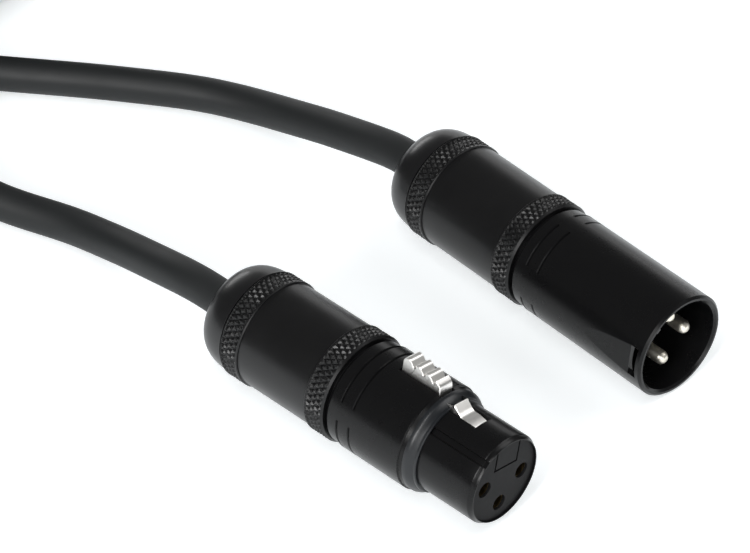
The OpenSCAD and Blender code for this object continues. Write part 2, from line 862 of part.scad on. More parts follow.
// Strap round the coil's bundle on the side away from the connectors
module coil_tie() {
    inner_turn = coil_r - turn_pitch * layer_turns - cable_r;
    inner = sqrt(inner_turn * inner_turn - tie_w * tie_w / 4) - cable_gap;
    outer = coil_r + cable_r + cable_gap;
    height = coil_lift + (coil_layers - 1) * turn_pitch + 2 * cable_r + cable_gap - tie_t;
    corner = cable_r - cable_gap;
    color("#202022") translate([coil_center.x, coil_center.y, 0]) rotate([90, 0, 180 + coil_start_angle])
        translate([0, 0, -tie_w / 2]) linear_extrude(tie_w) difference() {
            translate([inner - tie_t, 0])
                soft_rectangle(outer - inner + 2 * tie_t, height + 2 * tie_t, corner + tie_t);
            translate([inner, tie_t]) soft_rectangle(outer - inner, height, corner);
        }
}

male_shell();
male_insert();
male_pin_1();
male_pin_2();
male_pin_3();
male_ground_clip();
male_wires();
male_chuck();
male_barrel();
male_boot();
female_shell();
shoulder_seal();
female_insert();
female_contact_1();
female_contact_2();
female_contact_3();
female_latch();
latch_pin();
latch_spring();
female_ground_clip();
female_wires();
female_chuck();
female_barrel();
female_boot();
cable_male_run();
cable_coil();
cable_female_run();
coil_tie();
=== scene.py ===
import math

import bpy
import numpy as np
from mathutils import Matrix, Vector


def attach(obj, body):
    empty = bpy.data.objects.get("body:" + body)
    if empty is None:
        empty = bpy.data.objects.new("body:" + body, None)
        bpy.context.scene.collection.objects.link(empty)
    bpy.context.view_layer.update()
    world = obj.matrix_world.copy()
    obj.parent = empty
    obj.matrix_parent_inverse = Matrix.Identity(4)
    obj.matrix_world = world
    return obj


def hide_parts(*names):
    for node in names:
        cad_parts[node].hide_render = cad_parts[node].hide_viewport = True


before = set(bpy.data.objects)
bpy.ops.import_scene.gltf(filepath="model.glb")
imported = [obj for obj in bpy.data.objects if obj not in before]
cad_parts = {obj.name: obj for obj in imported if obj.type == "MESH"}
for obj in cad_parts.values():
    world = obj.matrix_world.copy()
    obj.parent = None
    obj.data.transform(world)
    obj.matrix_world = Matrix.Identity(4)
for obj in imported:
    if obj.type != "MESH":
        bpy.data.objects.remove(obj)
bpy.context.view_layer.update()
print("stage: frame loaded")
mm = 0.001

# Where the two connectors lie, in millimetres and degrees, as in the CAD source
layout = {
    "maleAt": (23.5, -30.0),
    "femaleAt": (-19.6, -33.5),
    "femaleYaw": 4.3,
    "axisHeight": 9.8,
    "maleRoll": 84.0,
    "femaleRoll": -11.0,
}


def placeMale(points):
    # local (side, up, station) in mm to the frame in metres
    side, up, station = points[..., 0], points[..., 1], points[..., 2]
    x = layout["maleAt"][0] - side
    y = layout["maleAt"][1] + station
    return np.stack([x, y, layout["axisHeight"] + up], axis=-1) * mm


def placeFemale(points):
    side, up, station = points[..., 0], points[..., 1], points[..., 2]
    yaw = math.radians(layout["femaleYaw"])
    x = layout["femaleAt"][0] - side * math.cos(yaw) - station * math.sin(yaw)
    y = layout["femaleAt"][1] - side * math.sin(yaw) + station * math.cos(yaw)
    return np.stack([x, y, layout["axisHeight"] + up], axis=-1) * mm


def makeMesh(name, points, faces, material, sharpAngle=35, uv=None):
    mesh = bpy.data.meshes.new(name)
    faces = np.asarray(faces, dtype=np.int32)
    points = np.asarray(points, dtype=np.float32)
    mesh.vertices.add(len(points))
    mesh.vertices.foreach_set("co", points.ravel())
    mesh.loops.add(faces.size)
    mesh.loops.foreach_set("vertex_index", faces.ravel())
    mesh.polygons.add(len(faces))
    mesh.polygons.foreach_set("loop_start", np.arange(0, faces.size, faces.shape[1], dtype=np.int32))
    if uv is not None:
        layer = mesh.uv_layers.new(name="UVMap")
        layer.data.foreach_set("uv", np.asarray(uv, dtype=np.float32)[faces.ravel()].ravel())
    mesh.update(calc_edges=True)
    mesh.validate()
    mesh.polygons.foreach_set("use_smooth", np.ones(len(mesh.polygons), dtype=bool))
    mesh.set_sharp_from_angle(angle=math.radians(sharpAngle))
    mesh.materials.append(material)
    thing = bpy.data.objects.new(name, mesh)
    bpy.context.scene.collection.objects.link(thing)
    return thing


def gridFaces(rows, columns, closeRows=False, closeColumns=False):
    # quads of a grid of points, row after row
    i, j = np.meshgrid(
        np.arange(rows if closeRows else rows - 1),
        np.arange(columns if closeColumns else columns - 1),
        indexing="ij",
    )
    nextI, nextJ = (i + 1) % rows, (j + 1) % columns
    row, nextRow = i * columns, nextI * columns
    return np.stack([row + j, nextRow + j, nextRow + nextJ, row + nextJ], axis=-1).reshape(-1, 4)


def makeGroup(name, inputs, outputs):
    # an empty node group with float or vector sockets, its way in and its way out
    group = bpy.data.node_groups.new(name, "ShaderNodeTree")
    for socket, value in inputs.items():
        kind = "NodeSocketVector" if value is None else "NodeSocketFloat"
        made = group.interface.new_socket(name=socket, in_out="INPUT", socket_type=kind)
        if value is not None:
            made.default_value = value
    for socket in outputs:
        group.interface.new_socket(name=socket, in_out="OUTPUT", socket_type="NodeSocketFloat")
    return group, group.nodes.new("NodeGroupInput"), group.nodes.new("NodeGroupOutput")


def addMath(tree, operation, first, second=None, third=None, clamp=False):
    # a maths node whose inputs are sockets or numbers
    node = tree.nodes.new("ShaderNodeMath")
    node.operation = operation
    node.use_clamp = clamp
    for slot, value in enumerate((first, second, third)):
        if isinstance(value, (int, float)):
            node.inputs[slot].default_value = value
        elif value is not None:
            tree.links.new(value, node.inputs[slot])
    return node.outputs[0]


def makeGrainGroup():
    # fine grain for bump, and a blotchy mask of handling marks for roughness
    group, way, out = makeGroup("surfaceGrain", {"Position": None, "Scale": 900.0}, ["Grain", "Marks"])
    fine = group.nodes.new("ShaderNodeTexNoise")
    fine.inputs["Detail"].default_value = 3
    group.links.new(way.outputs["Position"], fine.inputs["Vector"])
    group.links.new(way.outputs["Scale"], fine.inputs["Scale"])
    broad = group.nodes.new("ShaderNodeTexNoise")
    broad.inputs["Detail"].default_value = 4
    broad.inputs["Roughness"].default_value = 0.6
    group.links.new(way.outputs["Position"], broad.inputs["Vector"])
    group.links.new(addMath(group, "MULTIPLY", way.outputs["Scale"], 0.12), broad.inputs["Scale"])
    marks = addMath(group, "MULTIPLY_ADD", broad.outputs["Fac"], 2.4, -0.7, clamp=True)
    group.links.new(fine.outputs["Fac"], out.inputs["Grain"])
    group.links.new(marks, out.inputs["Marks"])
    return group


def makeBrushGroup():
    # fine streaks across the strokes' direction, for brushed and turned metal
    rates = {"Position": None, "Across": 5200.0, "Along": 260.0}
    group, way, out = makeGroup("brushStrokes", rates, ["Stroke"])
    split = group.nodes.new("ShaderNodeSeparateXYZ")
    group.links.new(way.outputs["Position"], split.inputs[0])
    join = group.nodes.new("ShaderNodeCombineXYZ")
    for axis, rate in (("X", "Along"), ("Y", "Across"), ("Z", "Along")):
        scaled = addMath(group, "MULTIPLY", split.outputs[axis], way.outputs[rate])
        group.links.new(scaled, join.inputs[axis])
    noise = group.nodes.new("ShaderNodeTexNoise")
    noise.inputs["Scale"].default_value = 1
    noise.inputs["Detail"].default_value = 2
    group.links.new(join.outputs[0], noise.inputs["Vector"])
    group.links.new(noise.outputs["Fac"], out.inputs["Stroke"])
    return group


def makeWeaveGroup():
    # threads of a woven strap over and under each other, from its UV in millimetres
    group, way, out = makeGroup("strapWeave", {"Position": None, "Threads": 1.4}, ["Height"])
    split = group.nodes.new("ShaderNodeSeparateXYZ")
    group.links.new(way.outputs["Position"], split.inputs[0])
    waves = []
    for axis in ("X", "Y"):
        threads = addMath(group, "MULTIPLY", split.outputs[axis], way.outputs["Threads"])
        waves.append(addMath(group, "SINE", addMath(group, "MULTIPLY", threads, math.tau)))
    height = addMath(group, "MULTIPLY_ADD", addMath(group, "MULTIPLY", *waves), 0.5, 0.5)
    group.links.new(height, out.inputs["Height"])
    return group


grainGroup = makeGrainGroup()
brushGroup = makeBrushGroup()
weaveGroup = makeWeaveGroup()


def useGroup(tree, group, source, **values):
    node = tree.nodes.new("ShaderNodeGroup")
    node.node_tree = group
    coordinates = tree.nodes.new("ShaderNodeTexCoord")
    tree.links.new(coordinates.outputs[source], node.inputs["Position"])
    for socket, value in values.items():
        node.inputs[socket].default_value = value
    return node


def addBump(tree, height, strength, distance):
    bump = tree.nodes.new("ShaderNodeBump")
    bump.inputs["Strength"].default_value = strength
    bump.inputs["Distance"].default_value = distance
    tree.links.new(height, bump.inputs["Height"])
    return bump.outputs["Normal"]


def startMaterial(name, color, roughness, metallic, more):
    material = bpy.data.materials.new(name)
    material.use_nodes = True
    shader = material.node_tree.nodes["Principled BSDF"]
    shader.inputs["Base Color"].default_value = (*color, 1)
    shader.inputs["Roughness"].default_value = roughness
    shader.inputs["Metallic"].default_value = metallic
    for socket, value in more.items():
        shader.inputs[socket.replace("_", " ")].default_value = value
    return material, material.node_tree, shader


def grainedMaterial(name, color, roughness, spread=0.05, scale=900.0, bump=0.1, metallic=0.0, **more):
    # moulded, lacquered or cast surface: roughness wanders by the spread, bump from the fine grain
    material, tree, shader = startMaterial(name, color, roughness, metallic, more)
    grain = useGroup(tree, grainGroup, "Object", Scale=scale)
    rough = addMath(tree, "MULTIPLY_ADD", grain.outputs["Marks"], spread, roughness - spread / 2)
    tree.links.new(rough, shader.inputs["Roughness"])
    tree.links.new(addBump(tree, grain.outputs["Grain"], bump, 0.00005), shader.inputs["Normal"])
    return material


def brushedMaterial(name, color, roughness, spread=0.12, bump=0.05, **more):
    # metal with fine strokes along the connector's axis or round it
    material, tree, shader = startMaterial(name, color, roughness, 1.0, more)
    brush = useGroup(tree, brushGroup, "Object")
    rough = addMath(tree, "MULTIPLY_ADD", brush.outputs["Stroke"], spread, roughness - spread / 2)
    tree.links.new(rough, shader.inputs["Roughness"])
    tree.links.new(addBump(tree, brush.outputs["Stroke"], bump, 0.00003), shader.inputs["Normal"])
    return material


def wovenMaterial(name, color, roughness):
    # woven strap: threads from the weave on the UV in millimetres
    material, tree, shader = startMaterial(name, color, roughness, 0.0, {})
    weave = useGroup(tree, weaveGroup, "UV")
    tree.links.new(addBump(tree, weave.outputs["Height"], 0.6, 0.0002), shader.inputs["Normal"])
    rough = addMath(tree, "MULTIPLY_ADD", weave.outputs["Height"], -0.15, roughness + 0.1)
    tree.links.new(rough, shader.inputs["Roughness"])
    return material


view = {
    "lens": 177.6,
    "sensor": 36,
    "place": (-0.3163, -0.3295, 0.4174),
    "target": (0.00586, 0.02497, 0.0),
    "clip": (0.01, 20),
}


def makeCamera():
    data = bpy.data.cameras.new("camera")
    data.lens = view["lens"]
    data.sensor_width = view["sensor"]
    data.sensor_fit = "HORIZONTAL"
    camera = bpy.data.objects.new("camera", data)
    camera.location = view["place"]
    target = Vector(view["target"])
    camera.rotation_euler = (target - camera.location).to_track_quat("-Z", "Y").to_euler()
    data.clip_start, data.clip_end = view["clip"]
    bpy.context.scene.collection.objects.link(camera)
    bpy.context.scene.camera = camera


studio = {
    "floorHalf": 4.0,
    "floorBase": (0.80, 0.82, 0.84, 1),
    "floorRoughness": 0.9,
    "floorSpecular": 0.1,
    "floorGlow": (0.97, 1, 1, 1),
    "floorGlowStrength": 0.52,
    "worldStrength": 0.13,
    "lampTarget": (0, 0.02, 0),
}
# each lamp's place, size and power
lamps = {
    "softboxTop": ((0.8, -0.35, 1.0), (0.9, 0.7), 5.8),
    "softboxLeft": ((-1.04, -0.27, 0.62), (0.45, 0.35), 8.0),
    "softboxStrip": ((-0.54, -0.26, 1.03), (0.12, 0.9), 4.5),
    "softboxLow": ((-0.53, -1.06, 0.35), (0.7, 0.5), 4.0),
    "softboxBack": ((0.35, 1.25, 0.4), (0.7, 0.35), 3.2),
    "softboxSide": ((0.95, 0.68, 0.24), (0.9, 0.35), 1.1),
}


def makeFloor():
    half = studio["floorHalf"]
    corners = [(-half, -half, 0), (half, -half, 0), (half, half, 0), (-half, half, 0)]
    material = bpy.data.materials.new("floorWhite")
    material.use_nodes = True
    tree = material.node_tree
    shader = tree.nodes["Principled BSDF"]
    shader.inputs["Base Color"].default_value = studio["floorBase"]
    shader.inputs["Roughness"].default_value = studio["floorRoughness"]
    shader.inputs["Specular IOR Level"].default_value = studio["floorSpecular"]
    shader.inputs["Emission Color"].default_value = studio["floorGlow"]
    tree.links.new(seenDirectly(tree, studio["floorGlowStrength"]), shader.inputs["Emission Strength"])
    floor = makeMesh("floor", corners, [(0, 1, 2, 3)], material)


def seenDirectly(tree, strength):
    # strength where the ray comes from the camera, a mirror or glass, else 0
    path = tree.nodes.new("ShaderNodeLightPath")
    glossy = tree.nodes.new("ShaderNodeMath")
    glossy.operation = "MAXIMUM"
    clear = tree.nodes.new("ShaderNodeMath")
    clear.operation = "MAXIMUM"
    scale = tree.nodes.new("ShaderNodeMath")
    scale.operation = "MULTIPLY"
    scale.inputs[1].default_value = strength
    tree.links.new(path.outputs["Is Camera Ray"], glossy.inputs[0])
    tree.links.new(path.outputs["Is Glossy Ray"], glossy.inputs[1])
    tree.links.new(glossy.outputs[0], clear.inputs[0])
    tree.links.new(path.outputs["Is Transmission Ray"], clear.inputs[1])
    tree.links.new(clear.outputs[0], scale.inputs[0])
    return scale.outputs[0]


def makeWorld():
    world = bpy.data.worlds.new("studio")
    world.use_nodes = True
    background = world.node_tree.nodes["Background"]
    background.inputs["Color"].default_value = (1, 1, 1, 1)
    background.inputs["Strength"].default_value = studio["worldStrength"]
    bpy.context.scene.world = world


def makeLamp(name, place, size, power):
    data = bpy.data.lights.new(name, "AREA")
    data.shape = "RECTANGLE"
    data.size, data.size_y = size
    data.energy = power
    lamp = bpy.data.objects.new(name, data)
    lamp.location = place
    aim = Vector(studio["lampTarget"]) - Vector(place)
    lamp.rotation_euler = aim.to_track_quat("-Z", "Y").to_euler()
    bpy.context.scene.collection.objects.link(lamp)


makeCamera()
makeFloor()
makeWorld()
for lampName, lampSettings in lamps.items():
    makeLamp(lampName, *lampSettings)
bpy.context.scene.view_settings.view_transform = "Standard"
print("stage: camera, floor and light")

cable = {
    "radius": 3.25,
    "straightStart": 60.0,
    "bootEnd": 62.65,
    "straightEnd": 66.65,
    "turns": 11.875,
    "layers": 4,
    "outerTurn": 47.2,
    "pitch": 7.1,
    "lift": 1.3,
    "centre": (1.3, 171.6),
    "startAngle": 220.2,
    "pointsPerTurn": 24,
    "step": 2.0,
    "sides": 24,
}
maleRun = [
    (22.9, 42.5, 9.2), (22.1, 49.3, 7.9), (21.4, 55.1, 6.7), (20.4, 61.0, 5.5), (17.8, 71.5, 3.9),
    (13.7, 80.6, 3.3), (8.3, 88.2, 3.25), (2.6, 95.5, 3.25), (-3.3, 102.6, 3.25), (-9.3, 109.7, 3.25),
    (-15.8, 117.4, 3.4), (-22.2, 125.2, 3.8), (-28.5, 133.1, 4.3),
]
femaleRun = [
    (-25.1, 41.0, 8.9), (-25.1, 47.7, 7.3), (-25.1, 54.6, 5.6), (-25.5, 60.8, 4.3), (-26.5, 66.5, 3.6),
    (-28.1, 71.5, 3.3), (-31.7, 80.0, 3.6), (-34.3, 87.9, 5.2), (-34.7, 95.9, 8.0), (-33.0, 103.8, 11.7),
    (-29.3, 111.0, 15.9), (-23.9, 117.2, 20.0), (-17.2, 121.7, 23.6), (-9.7, 124.1, 25.6),
]


def axisPoints(place, start, end):
    # four points on a connector's axis, so that the cable leaves it straight
    stations = np.linspace(start, end, 4)
    return place(np.stack([0 * stations, 0 * stations, stations], axis=-1)) / mm


def coilPoints():
    # a flat spiral inwards, then one outwards a pitch higher, four layers in all
    turn = np.arange(0, cable["turns"] * cable["pointsPerTurn"] + 0.5) / cable["pointsPerTurn"]
    perLayer = cable["turns"] / cable["layers"]
    layer = np.minimum(np.floor(turn / perLayer), cable["layers"] - 1)
    inLayer = turn - layer * perLayer
    inwards = np.where(layer % 2 == 0, inLayer, perLayer - inLayer)
    radius = cable["outerTurn"] - cable["pitch"] * inwards
    climb = sum(np.clip((turn - k * perLayer) * 2 + 0.5, 0, 1) for k in range(1, cable["layers"]))
    angle = np.radians(cable["startAngle"] - 360 * turn)
    return np.stack([
        cable["centre"][0] + radius * np.cos(angle),
        cable["centre"][1] + radius * np.sin(angle),
        cable["radius"] + cable["lift"] + cable["pitch"] * climb,
    ], axis=-1)


def smoothPath(points, step):
    # natural cubic spline over the chord length, sampled at even steps
    chord = np.linalg.norm(np.diff(points, axis=0), axis=1)
    knot = np.concatenate([[0], np.cumsum(chord)])
    count = len(points)
    system = np.eye(count)
    right = np.zeros((count, 3))
    for i in range(1, count - 1):
        before, after = chord[i - 1], chord[i]
        system[i, i - 1 : i + 2] = (before, 2 * (before + after), after)
        right[i] = 6 * ((points[i + 1] - points[i]) / after - (points[i] - points[i - 1]) / before)
    bend = np.linalg.solve(system, right)
    at = np.linspace(0, knot[-1], int(round(knot[-1] / step)) + 1)
    i = np.clip(np.searchsorted(knot, at, side="right") - 1, 0, count - 2)
    width = chord[i][:, None]
    b = (at - knot[i])[:, None] / width
    a = 1 - b
    return (
        a * points[i]
        + b * points[i + 1]
        + ((a**3 - a) * bend[i] + (b**3 - b) * bend[i + 1]) * width**2 / 6
    )


def tubeAlong(name, path, radius, sides, material):
    # a circle carried along the path, square to it, with its seam underneath and both ends closed
    heading = np.gradient(path, axis=0)
    heading /= np.linalg.norm(heading, axis=1)[:, None]
    side = np.cross([0, 0, 1.0], heading)
    side /= np.linalg.norm(side, axis=1)[:, None]
    top = np.cross(heading, side)
    turn = -np.pi / 2 + 2 * np.pi * np.arange(sides) / sides
    across = np.cos(turn)[None, :, None] * side[:, None]
    rings = path[:, None] + radius * (across + np.sin(turn)[None, :, None] * top[:, None])
    length = np.concatenate([[0], np.cumsum(np.linalg.norm(np.diff(path, axis=0), axis=1))])
    count = len(path)
    points = np.concatenate([rings.reshape(-1, 3), path[:1], path[-1:]])
    j = np.arange(sides)
    k = (j + 1) % sides
    walls = gridFaces(count, sides, closeColumns=True)[:, ::-1]
    last = (count - 1) * sides
    around = np.tile(np.arange(sides) / sides, count)
    along = np.repeat(length, sides)
    uv = np.concatenate([np.stack([around, along], axis=-1), [[0.5, 0], [0.5, length[-1]]]])
    back = np.stack([last + k, last + j, np.full(sides, count * sides + 1)], axis=-1)
    front = np.stack([j, k, np.full(sides, count * sides)], axis=-1)
    triangles = np.concatenate([front, back, walls[:, [0, 1, 2]], walls[:, [0, 2, 3]]])
    return makeMesh(name, points, triangles, material, uv=uv)


strap = {
    "inside": (23.9, 48.1),
    "height": 28.4,
    "under": 1.0,
    "corner": 2.95,
    "thickness": 0.9,
    "width": 16.0,
    "startPart": 0.3,
    "flap": 14.0,
    "ramp": 5.0,
    "gap": 0.05,
    "step": 0.8,
    "acrossSteps": 8,
}


def makeStrap():
    # a band round the coil's bundle: a rectangle with round corners, whose end lies on its start
    low, high = strap["inside"]
    corner, bottom = strap["corner"], strap["under"]
    offset = strap["gap"] + strap["thickness"] / 2
    wide, tall, bend = high - low + 2 * offset, strap["height"] + 2 * offset, corner + offset
    sides = [tall - 2 * bend, wide - 2 * bend, tall - 2 * bend, wide - 2 * bend]
    arc = bend * np.pi / 2
    whole = sum(sides) + 4 * arc
    length = whole + strap["flap"]
    start = sides[1] * strap["startPart"]
    at = np.linspace(0, length, int(length / strap["step"]) + 1)
    points, outward = [], []
    for distance in at:
        left = (start + distance) % whole
        heading = 0.0
        place = np.array([low - offset + bend, bottom + strap["height"] + offset])
        for side in (sides[1], sides[0], sides[3], sides[2]):
            run = min(left, side)
            place = place + run * np.array([math.cos(heading), math.sin(heading)])
            left -= run
            if left <= 0:
                break
            turned = min(left, arc) / bend
            centre = place + bend * np.array([math.sin(heading), -math.cos(heading)])
            heading -= turned
            place = centre + bend * np.array([-math.sin(heading), math.cos(heading)])
            left -= min(left, arc)
            if left <= 0:
                break
        points.append(place)
        outward.append((-math.sin(heading), math.cos(heading)))
    lift = np.clip((at - (whole - strap["ramp"])) / strap["ramp"], 0, 1)
    lift = (strap["thickness"] + strap["gap"]) * lift**2 * (3 - 2 * lift)
    points, outward = np.array(points), np.array(outward)
    middle = points + lift[:, None] * outward
    half, edge = strap["width"] / 2, strap["thickness"] / 2
    across = np.linspace(-half, half, strap["acrossSteps"] + 1)
    around = [(x, edge) for x in across] + [(x, -edge) for x in across[::-1]]
    angle = math.radians(cable["startAngle"] + 180)
    ahead = np.array([math.cos(angle), math.sin(angle)])
    beside = np.array([math.sin(angle), -math.cos(angle)])
    rings = []
    for x, up in around:
        shape = middle + up * outward
        flat = np.array(cable["centre"]) + shape[:, :1] * ahead + x * beside
        rings.append(np.column_stack([flat, shape[:, 1]]))
    columns = len(around)
    rows = len(at)
    vertices = np.stack(rings, axis=1).reshape(-1, 3) * mm
    uv = np.stack([np.repeat(at, columns), np.tile([x for x, _ in around], rows)], axis=-1)
    faces = [gridFaces(rows, columns, closeColumns=True)[:, ::-1]]
    j = np.arange(strap["acrossSteps"])
    cap = np.stack([j, j + 1, columns - 2 - j, columns - 1 - j], axis=-1)
    faces += [cap[:, ::-1], (rows - 1) * columns + cap]
    return makeMesh("strap", vertices, np.concatenate(faces), strapMaterial, uv=uv)


jacketMaterial = grainedMaterial(
    "cableJacket", (0.009, 0.0105, 0.011), 0.55,
    spread=0.1, scale=700.0, bump=0.12, Specular_IOR_Level=0.4,
)
cablePath = smoothPath(
    np.concatenate([
        axisPoints(placeMale, cable["straightStart"], cable["straightEnd"]),
        maleRun,
        coilPoints(),
        femaleRun[::-1],
        axisPoints(placeFemale, cable["straightStart"], cable["straightEnd"])[::-1],
    ]),
    cable["step"],
) * mm
cableTube = tubeAlong("cable", cablePath, cable["radius"] * mm, cable["sides"], jacketMaterial)
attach(cableTube, "root")
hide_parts("cable_male_run", "cable_coil", "cable_female_run")
strapMaterial = wovenMaterial("strapFabric", (0.012, 0.012, 0.013), 0.8)
strapPiece = makeStrap()
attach(strapPiece, "root")
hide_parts("coil_tie")

print("stage: cable")


def finishPiece(thing, body, slot, *nodes):
    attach(thing, body)
    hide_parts(*nodes)
    return thing


def roundPoints(radius, turn, station):
    # a point at a radius and at an angle from up towards the near side, in degrees
    angle = np.radians(turn)
    side, up = radius * np.sin(angle), radius * np.cos(angle)
    return np.stack(np.broadcast_arrays(side, up, station), axis=-1)


def turnedPiece(name, place, outline, material, sides=96, centre=(0.0, 0.0), sharpAngle=35):
    # a closed outline of (radius, station) turned once round the axis, or round an axis beside it
    outline = np.array(outline, dtype=float)
    radius, station = outline[:, 0], outline[:, 1]
    if np.sum(radius * np.roll(station, -1) - np.roll(radius, -1) * station) < 0:
        radius, station = radius[::-1], station[::-1]
    turn = 360 * np.arange(sides) / sides
    points = roundPoints(radius[:, None], turn[None, :], station[:, None]) + (*centre, 0.0)
    faces = gridFaces(len(radius), sides, closeRows=True, closeColumns=True)
    return makeMesh(name, place(points).reshape(-1, 3), faces, material, sharpAngle)


def between(value, low, high, soft):
    # 1 from low to high, with slopes of width soft inside those limits
    return np.clip(np.minimum((value - low) / soft, (high - value) / soft), 0, 1)


def shellOfTwoSkins(name, place, station, turn, outer, inner, innerTurn, hole, material, sharpAngle=32):
    # an outer and an inner skin over the same rows and columns, joined at both ends and round each hole
    rows, columns = len(station), len(turn)
    outerPoints = roundPoints(outer, turn[None, :], station[:, None])
    innerPoints = roundPoints(inner, innerTurn[None, :], station[:, None])
    points = np.concatenate([outerPoints.reshape(-1, 3), innerPoints.reshape(-1, 3)])
    far = rows * columns
    i, j = np.meshgrid(np.arange(rows - 1), np.arange(columns), indexing="ij")
    nextJ = (j + 1) % columns
    kept = ~hole
    row, nextRow = i * columns, (i + 1) * columns
    cells = np.stack([row + j, nextRow + j, nextRow + nextJ, row + nextJ], -1)
    a, b, c, d = np.moveaxis(cells[kept], -1, 0)
    parts = [np.stack([a, b, c, d], -1), np.stack([d, c, b, a], -1) + far]
    empty = np.zeros((1, columns), dtype=bool)
    below = np.concatenate([empty, kept[:-1]])
    above = np.concatenate([kept[1:], empty])
    after, before = np.roll(kept, -1, axis=1), np.roll(kept, 1, axis=1)
    a, b, c, d = np.moveaxis(cells[kept & ~above], -1, 0)
    parts.append(np.stack([b, b + far, c + far, c], -1))
    a, b, c, d = np.moveaxis(cells[kept & ~below], -1, 0)
    parts.append(np.stack([a, d, d + far, a + far], -1))
    a, b, c, d = np.moveaxis(cells[kept & ~after], -1, 0)
    parts.append(np.stack([d, c, c + far, d + far], -1))
    a, b, c, d = np.moveaxis(cells[kept & ~before], -1, 0)
    parts.append(np.stack([a, a + far, b + far, b], -1))
    faces = np.concatenate(parts)
    return makeMesh(name, place(points), faces, material, sharpAngle)


def stationRows(*lists, most=2.0):
    # every breakpoint of the given lists, with long steps divided
    stops = np.unique(np.round(np.concatenate([np.ravel(x) for x in lists]), 4))
    rows = [stops[:1]]
    for low, high in zip(stops[:-1], stops[1:]):
        rows.append(np.linspace(low, high, int(np.ceil((high - low) / most)) + 1)[1:])
    return np.concatenate(rows)


def turnColumns(stops, most=3.0):
    # angles round a shell that pass through the given stops, in degrees
    stops = np.unique(np.round(np.mod(stops, 360), 4))
    ends = np.concatenate([stops, [stops[0] + 360]])
    parts = [
        np.linspace(low, high, int(np.ceil((high - low) / most)) + 1)[:-1]
        for low, high in zip(ends[:-1], ends[1:])
    ]
    return np.concatenate(parts)


def stationsOf(profile):
    # the stations of a profile of (station, radius)
    return [point[0] for point in profile]


def radiusAt(station, profile):
    # a profile's radius at each station, as a column
    return np.interp(station, *zip(*profile))[:, None]


def fold(turn, centre):
    # angle from a centre, from -180 to 180
    return np.mod(turn - centre + 180, 360) - 180


shellMaterial = grainedMaterial(
    "shellBlack", (0.0042, 0.0042, 0.0045), 0.28,
    spread=0.04, scale=1500.0, bump=0.02, Specular_IOR_Level=0.23,
)
barrelMaterial = grainedMaterial(
    "barrelBlack", (0.0042, 0.0042, 0.0045), 0.33,
    spread=0.05, scale=1500.0, bump=0.03, Specular_IOR_Level=0.38,
)
bootMaterial = grainedMaterial(
    "bootBlack", (0.005, 0.005, 0.0055), 0.3, spread=0.06, scale=1200.0, bump=0.06,
)
insertMaterial = grainedMaterial(
    "insertPlastic", (0.007, 0.007, 0.0075), 0.6, spread=0.08, bump=0.15, Specular_IOR_Level=0.15,
)
sealMaterial = grainedMaterial("sealRubber", (0.006, 0.0075, 0.0095), 0.36, spread=0.1, bump=0.12)
pinMaterial = brushedMaterial("pinMetal", (0.9, 0.86, 0.76), 0.42, spread=0.06)
contactMaterial = brushedMaterial("contactMetal", (0.17, 0.13, 0.065), 0.4)
clipMaterial = brushedMaterial("clipMetal", (0.7, 0.67, 0.6), 0.35)
nickelMaterial = brushedMaterial("latchNickel", (0.88, 0.865, 0.835), 0.34, spread=0.04, bump=0.01)
springMaterial = brushedMaterial("springSteel", (0.55, 0.55, 0.57), 0.3)
wireMaterial = grainedMaterial("wireInsulation", (0.4, 0.03, 0.02), 0.45)
clampMaterial = grainedMaterial("clampPlastic", (0.05, 0.05, 0.055), 0.5)

shells = {
    "radius": 9.5,
    "mouth": 8.3,
    "nose": 8.0,
    "noseBore": 7.4,
    "tail": 8.6,
    "tailBore": 7.8,
    "bevel": 0.4,
    "step": 0.02,
    "maleLength": 30.4,
    "femaleLength": 30.4,
    "tailLength": 7.6,
    "maleSeat": 17.0,
    "femaleSeat": 16.5,
    "sealEnd": 13.77,
    "shoulder": 14.45,
    "shoulderRadii": (9.1, 9.25, 9.35),
    "shoulderBevel": 0.15,
    "noseLength": 12.4,
    "noseLip": ((0.0, 7.42), (0.05, 7.45), (0.6, 7.83), (0.68, 7.9), (0.8, 7.97), (0.95, 8.0)),
    "collarStep": 0.2,
    "groovePitch": 2.6,
    "grooveWidth": 0.5,
    "grooveDepth": 0.35,
    "grooveWall": 0.08,
    "grooveFade": 0.4,
    "grooveArcs": ((6, 61), (100, 164), (186, 250), (280, 344)),
    "socketArcs": ((-1, 60), (80, 361)),
    "keyHalf": 0.55,
    "keyHeight": 0.75,
    "keyEnds": (0.4, 15.15),
    "keySlope": 0.1,
    "keyFade": 0.5,
    "keyGrooveHalf": 0.65,
    "keyGrooveDepth": 0.45,
    "keyGrooveFade": 0.6,
    "thinnest": 0.1,
    "windowHalf": 2.9,
    "windowFrom": 1.1,
    "windowTo": 2.8,
    "flatDepth": 0.45,
    "flatLength": 10.0,
    "flatRows": 26,
    "flatSpread": 20,
    "flatTurnStep": 0.5,
    "hair": 0.001,
    "slotSpread": 14,
    "hookSlot": (1.95, 6.0, 12.3),
    "buttonSlot": (1.8, 13.79, 22.9),
    "keyAngle": 45.0,
}


def rearProfile(length):
    # stations and radii of a shell's outside from its last groove to the tail's end
    radius, step, bevel = shells["radius"], shells["step"], shells["bevel"]
    collar = length - shells["groovePitch"] + shells["grooveWidth"] / 2
    low = radius - shells["collarStep"]
    tailEnd = length + shells["tailLength"]
    return [
        (collar, radius), (collar + step, low), (length - bevel, low), (length, low - bevel),
        (length + step, shells["tail"]), (tailEnd - bevel, shells["tail"]),
        (tailEnd, shells["tail"] - bevel),
    ]


